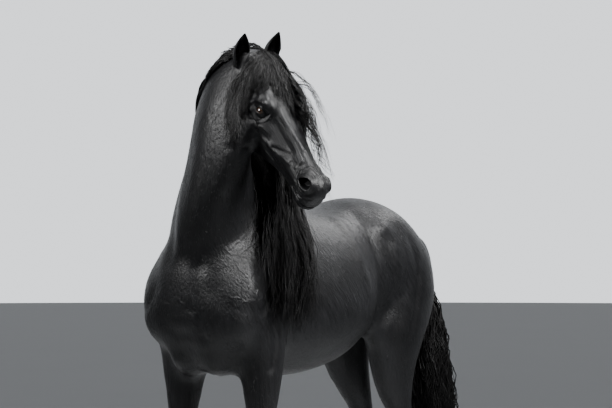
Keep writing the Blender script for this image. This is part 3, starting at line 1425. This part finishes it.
class HorseMane(bpy.types.Operator):
    """Make the mane: long locks on the left of the neck, and short ones over the crest on its right"""

    bl_idname = "horse.mane"
    bl_label = "Mane"

    def execute(self, context):
        sizes, colours = context.scene.horse_sizes, context.scene.horse_colours
        finish = hair_finish("mane_hair", colours.hair, 0.38)
        hair = Hair(11, 18)
        tree, draw = hair.tree, hair.draw
        for k in range(sizes.mane_locks):
            share = (k + draw.uniform(0, 1)) / sizes.mane_locks
            root, left, crest = crest_frame(share)
            length = sizes.mane_at_poll + (sizes.mane_at_withers - sizes.mane_at_poll) * share
            length *= draw.uniform(0.60, 0.93)
            heading = left + crest * 0.30 * (1 - share) + Vector((0.5, 0, 0)) * share
            drift = Vector((0.05 + 0.26 * share + draw.normal(0, 0.09), 0.03 + draw.normal(0, 0.05), 0))
            lift = draw.uniform(0.004, 0.060)
            start = root + left * draw.uniform(0, 0.02)
            path = fall(tree, start, heading, length, 26, 0.25, drift, lift)
            hair.lock(path, "stray mane" if k % 5 == 2 else "mane", length * 4.0)
        hair.make("mane_left", finish)
        finish = hair_finish("crest_hair", colours.hair, 0.36, 0.26)
        hair = Hair(12, 11)
        for k in range(36):
            start, lift = 0.70 * (k + draw.uniform(0, 1)) / 36, draw.uniform(0.004, 0.026)
            out, reach = draw.uniform(0.0, 0.070), draw.uniform(0.16, 0.30)
            path = []
            for j in range(12):
                root, left, crest = crest_frame(min(1.0, start + reach * j / 11))
                place = root - left * (out + 0.012 * j / 11) - crest * (0.3 * out + 0.006 * j / 11)
                near, normal, _, _ = tree.find_nearest(place)
                path.append(near + normal * min(lift * (0.5 + 0.5 * start / 0.66), 0.001 + 0.004 * j))
            hair.lock(path, "crest")
        for k in range(13):
            aside, lift = draw.uniform(-6, 6), draw.uniform(0.004, 0.014)
            places = ((256 - aside / 2, 57), (249 - aside / 2, 70 + draw.uniform(-2, 3)), (241, 82),
                      (236, 98), (233, 118), (233, 140), (234, 160))
            path = seen_path(tree, places, aside, lift)
            reach = draw.uniform(0.45, 0.95)
            hair.lock(path[:max(8, int(len(path) * reach))], "cheek")
        hair.make("mane_right", finish)
        return {"FINISHED"}


class HorseForelock(bpy.types.Operator):
    """Make the forelock"""

    bl_idname = "horse.forelock"
    bl_label = "Forelock"

    def execute(self, context):
        finish = hair_finish("forelock_hair", context.scene.horse_colours.hair, 0.38, 0.20)
        hair = Hair(21, 13)
        tree, draw = hair.tree, hair.draw
        for k in range(28):
            side = -0.010 + 0.062 * (k + draw.uniform(0, 1)) / 28
            start = head_point(draw.uniform(-0.01, 0.06), 0.004, side * 0.6)
            length = draw.uniform(0.34, 0.60) * (0.50 + 0.50 * max(side, 0) / 0.052)
            drift = ALONG * 0.65 + HEAD_LEFT * (0.02 + side * 2.6)
            heading = OUTWARD * 0.05 + ALONG * 0.9 + HEAD_LEFT * (0.10 + side * 5)
            path = fall(tree, start, heading, length, 20, 0.20, drift, draw.uniform(0.003, 0.014), 0.22)
            hair.lock(path, "forelock" if k % 5 else "stray forelock", length * 6)
        for place, places in enumerate(FORELOCK_SEEN):
            far = place > 6
            for k in range(10 if far else 4):
                path = seen_path(tree, places, draw.uniform(-3, 3),
                                 draw.uniform(0.004, 0.034 if far else 0.012))
                path = path[int(draw.uniform(0, 5)):int(len(path) * draw.uniform(0.7, 1.0))]
                hair.lock(path, "forehead")
        for k in range(12):
            start = head_point(draw.uniform(-0.015, 0.04), -0.004, draw.uniform(-0.030, 0.030))
            heading = ALONG * 0.9 + OUTWARD * 0.1 + HEAD_LEFT * draw.uniform(-0.3, 0.4)
            path = fall(tree, start, heading, 0.22, 12, 0.16, ALONG * 0.6 + HEAD_LEFT * 0.1,
                        draw.uniform(0.002, 0.008), 0.4)
            hair.lock(path, "poll")
        for k in range(16):
            start = head_point(draw.uniform(0.08, 0.34), -0.004, draw.uniform(0.010, 0.045))
            heading = OUTWARD * draw.uniform(0.2, 0.7) + ALONG * 0.8 + HEAD_LEFT * draw.uniform(0, 0.6)
            path = fall(tree, start, heading, draw.uniform(0.20, 0.36), 16, 0.14,
                        ALONG * 0.4 + OUTWARD * 0.15, draw.uniform(0.004, 0.02))
            hair.lock(path, "wisp")
        for k in range(12):
            root, left, crest = crest_frame(draw.uniform(0.0, 0.16))
            heading = crest * 0.5 + left * draw.uniform(-1, 1) + HEAD_AHEAD * draw.uniform(-0.8, 0.8)
            path = fall(tree, root + left * draw.uniform(-0.03, 0.03), heading, draw.uniform(0.07, 0.14), 12,
                        0.26, HEAD_AHEAD * draw.uniform(-0.3, 0.6), draw.uniform(0.003, 0.010))
            hair.lock(path, "short wisp")
        hair.make("forelock", finish)
        return {"FINISHED"}


def tail_point(share, reach, angle):
    """A place in the tail: its share of the way down, its share of the width, and the angle round it."""
    rows = np.array(smooth_rows(TAIL, 6))
    x, y, z, half = (np.interp(share * (len(rows) - 1), range(len(rows)), rows[:, k]) for k in range(4))
    side, back = LEFT, Vector((0.95, 0, 0.2)).normalized()
    return Vector((x, y, z)) + (side * math.cos(angle) + back * math.sin(angle) * 0.75) * half * reach


class HorseTail(bpy.types.Operator):
    """Make the hair of the tail"""

    bl_idname = "horse.tail"
    bl_label = "Tail"

    def execute(self, context):
        finish = hair_finish("tail_hair", context.scene.horse_colours.hair, 0.40)
        hair = Hair(31, 14)
        draw = hair.draw
        for _ in range(context.scene.horse_sizes.tail_locks):
            angle = draw.uniform(0, 2 * math.pi)
            reach = 0.35 + 0.62 * math.sqrt(draw.uniform(0, 1))
            start, end = draw.uniform(0, 0.16), draw.uniform(0.72, 1.0)
            path = []
            for j in range(16):
                share = start + (end - start) * j / 15
                path.append(tail_point(share, min(reach, 0.4 + j * 0.12), angle + 0.3 * j / 15))
            hair.lock(path, "tail")
        for k in range(34):
            share = (k + 0.5) / 34
            x, y, z, half = smooth_rows(DOCK, 2)[1:7][int(share * 6)]
            side = draw.uniform(-1, 1)
            start = Vector((x, y + half * side * 0.9, z + half * (0.75 - 0.5 * abs(side))))
            heading = Vector((-0.6 + 0.5 * abs(side), side * 0.30, -0.10 - 0.5 * abs(side)))
            path = fall(hair.tree, start, heading, draw.uniform(0.30, 0.52), 16, 0.30,
                        Vector((-0.01, 0.03 * side, 0)), draw.uniform(0.003, 0.016))
            hair.lock(path, "dock")
        hair.make("tail_hair", finish)
        return {"FINISHED"}


class HorseFeathers(bpy.types.Operator):
    """Make the long hair of the lower legs"""

    bl_idname = "horse.feathers"
    bl_label = "Feathers"

    def execute(self, context):
        finish = hair_finish("feather_hair", context.scene.horse_colours.hair, 0.44)
        hair = Hair(41, 8)
        tree, draw = hair.tree, hair.draw
        for leg in STRIDE:
            for k in range(46):
                angle = math.radians(draw.uniform(-165, 165)) + math.pi
                away = Vector((math.cos(angle), math.sin(angle), 0))
                height = 0.11 + draw.uniform(0, 0.11) + 0.16 * max(0.0, -away.x) * draw.uniform(0, 1)
                x, y = leg_centre(leg, height)
                start = Vector((x, y, height)) + away * 0.024
                path = fall(tree, start, away * 0.35 - UP, height * draw.uniform(0.78, 1.0), 12,
                            0.34, away * draw.uniform(0.02, 0.20), draw.uniform(0.003, 0.016))
                hair.lock(path, "feather")
        hair.make("feathers", finish)
        return {"FINISHED"}


class HorseCoat(bpy.types.Operator):
    """Make the tufts of the short coat, the lashes and the whiskers"""

    bl_idname = "horse.coat"
    bl_label = "Short coat"

    def execute(self, context):
        sizes, colours = context.scene.horse_sizes, context.scene.horse_colours
        finish = hair_finish("short_hair", darker(colours.coat, 1.15), 0.42, 0.24)
        skin = bpy.data.objects["skin"].data
        points = points_of(skin) - np.array(SHIFT)
        normals = normals_of(skin)
        lie = lie_of(points, normals)
        draw = np.random.default_rng(51)
        count = int(sizes.tufts * HAIR_SHARE)
        area = np.zeros(len(points))
        sizes_of = np.empty(len(skin.polygons))
        skin.polygons.foreach_get("area", sizes_of)
        firsts = np.empty(len(skin.polygons), np.int64)
        skin.polygons.foreach_get("loop_start", firsts)
        corners = np.empty(len(skin.loops), np.int64)
        skin.loops.foreach_get("vertex_index", corners)
        np.add.at(area, corners[firsts], sizes_of)
        along, depth, side = in_head_axes(points).T
        on_head = (along > 0.05) & (np.abs(side) < 0.14) & (depth < 0.32)
        on_foot = points[:, 2] < 0.6
        bare = np.zeros(len(points), bool)
        for eye_side in SIDES.values():
            bare |= np.linalg.norm(points - np.array(eye_centre(eye_side)), axis=1) < 0.034
            bare |= np.linalg.norm(points - np.array(nostril_place(eye_side)), axis=1) < 0.04
        area[bare] = 0
        area *= np.where(on_head | on_foot, 1.6, 1.0)
        chosen = draw.choice(len(points), count, p=area / area.sum())
        jitter = draw.normal(0, 0.003, (count, 3))
        roots = points[chosen] + jitter - normals[chosen] * (jitter * normals[chosen]).sum(1)[:, None]
        length = np.where(on_head | on_foot, 0.008, 0.016)[chosen] * draw.uniform(0.7, 1.3, count)
        wide = np.where(on_head | on_foot, 0.0007, 0.0011)[chosen]
        tilt = draw.normal(0, 0.07, (count, 3))
        way = lie[chosen] + tilt
        share = np.array((0.0, 0.5, 1.0))
        lift = np.array((-0.0004, 0.0002, 0.0005))
        path = roots[:, None] + way[:, None] * (length[:, None] * share)[:, :, None]
        path += normals[chosen][:, None] * lift[None, :, None]
        widths = wide[:, None] * np.array((0.8, 1.0, 0.12))[None, :]
        outs = np.repeat(normals[chosen][:, None], 3, axis=1)
        spots = unwrap_places(roots, normals[chosen])
        each = 14
        parts = math.ceil(count * each / PIECE_TRIANGLES)
        for k in range(parts):
            cut = slice(k * count // parts, (k + 1) * count // parts)
            strand_object(f"short_coat_{k + 1}", path[cut], outs[cut], widths[cut], spots[cut],
                          draw.uniform(0, 1, len(path[cut])), finish, 0.25)
        self.whiskers(finish, sizes.ear_length)
        return {"FINISHED"}

    def whiskers(self, finish, ear_length):
        """Lashes on the upper lids, fine whiskers round the muzzle, and the hair inside the ears."""
        length_of = {side: ear_length * EAR_SHARE[side] for side in SIDES.values()}
        hair = Hair(52, 6)
        tree, draw = hair.tree, hair.draw
        points, outs, widths = [], [], []
        share = np.linspace(0, 1, 6)
        for side in SIDES.values():
            out, fore, up = eye_axes(side)
            for k in range(46):
                u = EYE_OPENING[0] * (k / 45 * 1.8 - 0.95)
                v = float(lid_edge(np.array([u]))[0][0]) + 0.0012
                w = math.sqrt(max((EYE_RADIUS + 0.0030) ** 2 - u * u - v * v, 1e-6))
                start = eye_centre(side) + fore * u + up * v + out * w
                way = out * 0.9 - up * 0.15 + fore * draw.normal(0.1, 0.12)
                rise = draw.uniform(0.010, 0.016)
                points.append([start + way * rise * t - UP * rise * 0.3 * t * t for t in share])
                outs.append([up] * 6)
                widths.append(0.0006 * (1 - 0.8 * share))
        for k in range(70):
            side = draw.choice((-1, 1))
            at = head_point(draw.uniform(0.54, 0.64), draw.uniform(0.06, 0.15), 0.2 * side)
            near, normal, _, _ = tree.find_nearest(at)
            way = normal + ALONG * draw.normal(0.3, 0.3) - UP * 0.4 + HEAD_LEFT * draw.normal(0, 0.2)
            length = draw.uniform(0.02, 0.055)
            points.append([near + way * length * t - UP * length * 0.35 * t * t for t in share])
            outs.append([normal] * 6)
            widths.append(0.0006 * (1 - 0.85 * share))
        for side in SIDES.values():
            root, up, front, across = ear_axes(side)
            for k in range(150):
                height = draw.uniform(0.10, 0.62)
                aside = draw.uniform(-0.9, 0.9) * 0.020 * (1.1 - height)
                start = root + up * length_of[side] * height + across * aside - front * 0.004
                way = front * 0.55 + up * 0.8 - across * aside * 14 + across * draw.normal(0, 0.2)
                length = draw.uniform(0.018, 0.034)
                points.append([start + way * length * t for t in share])
                outs.append([front] * 6)
                widths.append(0.0011 * (1 - 0.85 * share))
        hair.points.append(np.array([[tuple(place) for place in row] for row in points]))
        hair.outs.append(np.array([[tuple(place) for place in row] for row in outs]))
        hair.widths.append(np.array(widths))
        hair.shades.append(np.full(len(points), 0.4))
        hair.make("lashes_and_whiskers", finish)


class HorseStage(bpy.types.Operator):
    """Make the floor, the lights and the camera"""

    bl_idname = "horse.stage"
    bl_label = "Stage"

    def execute(self, context):
        scene = context.scene
        bm = bmesh.new()
        bmesh.ops.create_circle(bm, cap_ends=True, segments=96, radius=40)
        floor = mesh_object("floor", bm)
        finish = Finish("floor", Roughness=0.7, Specular_IOR_Level=0.2)
        colour = scene.horse_colours.floor
        cloudy = finish.noise(finish.place(), 0.8, 3.0)
        finish.give("Base Color", finish.blend(cloudy, darker(colour, 0.96), colour))
        floor.data.materials.append(finish.material)
        middle = SHIFT + Vector((0.1, 0.1, 1.2))
        toward, right = camera_axes()
        world = bpy.data.worlds.new("studio")
        scene.world = world
        world.use_nodes = True
        nodes, links = world.node_tree.nodes, world.node_tree.links
        way = nodes.new("ShaderNodeTexCoord").outputs["Generated"]
        strength = 0.03
        for direction, low, high, gain in ((-toward, 0.45, 0.95, 1.50), (UP, 0.30, 0.95, 0.09)):
            facing = nodes.new("ShaderNodeVectorMath")
            facing.operation = "DOT_PRODUCT"
            links.new(way, facing.inputs[0])
            facing.inputs[1].default_value = direction
            step = nodes.new("ShaderNodeMapRange")
            step.interpolation_type = "SMOOTHSTEP"
            links.new(facing.outputs["Value"], step.inputs[0])
            for key, value in ((1, low), (2, high), (3, 0.0), (4, gain)):
                step.inputs[key].default_value = value
            total = nodes.new("ShaderNodeMath")
            links.new(step.outputs[0], total.inputs[0])
            if isinstance(strength, float):
                total.inputs[1].default_value = strength
            else:
                links.new(strength, total.inputs[1])
            strength = total.outputs[0]
        back = nodes["Background"]
        back.inputs["Color"].default_value = (0.93, 0.96, 1.0, 1)
        links.new(strength, back.inputs["Strength"])
        for name, (near, aside, over), size, power, spread in LAMPS:
            way = toward * near + right * aside + UP * over
            light = bpy.data.lights.new(name, "AREA")
            light.shape = "DISK"
            light.size = size
            light.energy = power
            light.spread = math.radians(spread)
            lamp = bpy.data.objects.new(name, light)
            lamp.location = middle + way
            lamp.rotation_euler = way.to_track_quat("Z", "Y").to_euler()
            scene.collection.objects.link(lamp)
        data = bpy.data.cameras.new("camera")
        data.sensor_width = 36
        data.lens = CAMERA_FOCAL * 36 / PICTURE[0]
        data.shift_x = (PICTURE[0] / 2 - CAMERA_MIDDLE[0]) / PICTURE[0]
        data.shift_y = (CAMERA_MIDDLE[1] - PICTURE[1] / 2) / PICTURE[0]
        camera = bpy.data.objects.new("camera", data)
        camera.location = SHIFT + toward * CAMERA_DISTANCE + UP * CAMERA_HEIGHT
        camera.rotation_euler = (math.pi / 2, 0, math.atan2(toward.y, toward.x) + math.pi / 2)
        scene.collection.objects.link(camera)
        scene.camera = camera
        return {"FINISHED"}


OPERATORS = (HorseSkin, HorseEyes, HorseHooves, HorseMane, HorseForelock, HorseTail, HorseFeathers,
             HorseCoat, HorseStage)


class HorsePanel(bpy.types.Panel):
    """Lists the pieces and their sizes"""

    bl_idname = "VIEW3D_PT_horse"
    bl_label = "Friesian stallion"
    bl_space_type = "VIEW_3D"
    bl_region_type = "UI"
    bl_category = "Horse"

    def draw(self, context):
        for group in (context.scene.horse_sizes, context.scene.horse_colours):
            for key in group.__annotations__:
                self.layout.prop(group, key)
        for operator in OPERATORS:
            self.layout.operator(operator.bl_idname)


CLASSES = (HorseSizes, HorseColours, *OPERATORS, HorsePanel)


def register():
    for each in CLASSES:
        bpy.utils.register_class(each)
    bpy.types.Scene.horse_sizes = bpy.props.PointerProperty(type=HorseSizes)
    bpy.types.Scene.horse_colours = bpy.props.PointerProperty(type=HorseColours)


def unregister():
    del bpy.types.Scene.horse_colours
    del bpy.types.Scene.horse_sizes
    for each in reversed(CLASSES):
        bpy.utils.unregister_class(each)


def main():
    register()
    for operator in OPERATORS:
        group, name = operator.bl_idname.split(".")
        getattr(getattr(bpy.ops, group), name)()


if __name__ == "__main__":
    main()
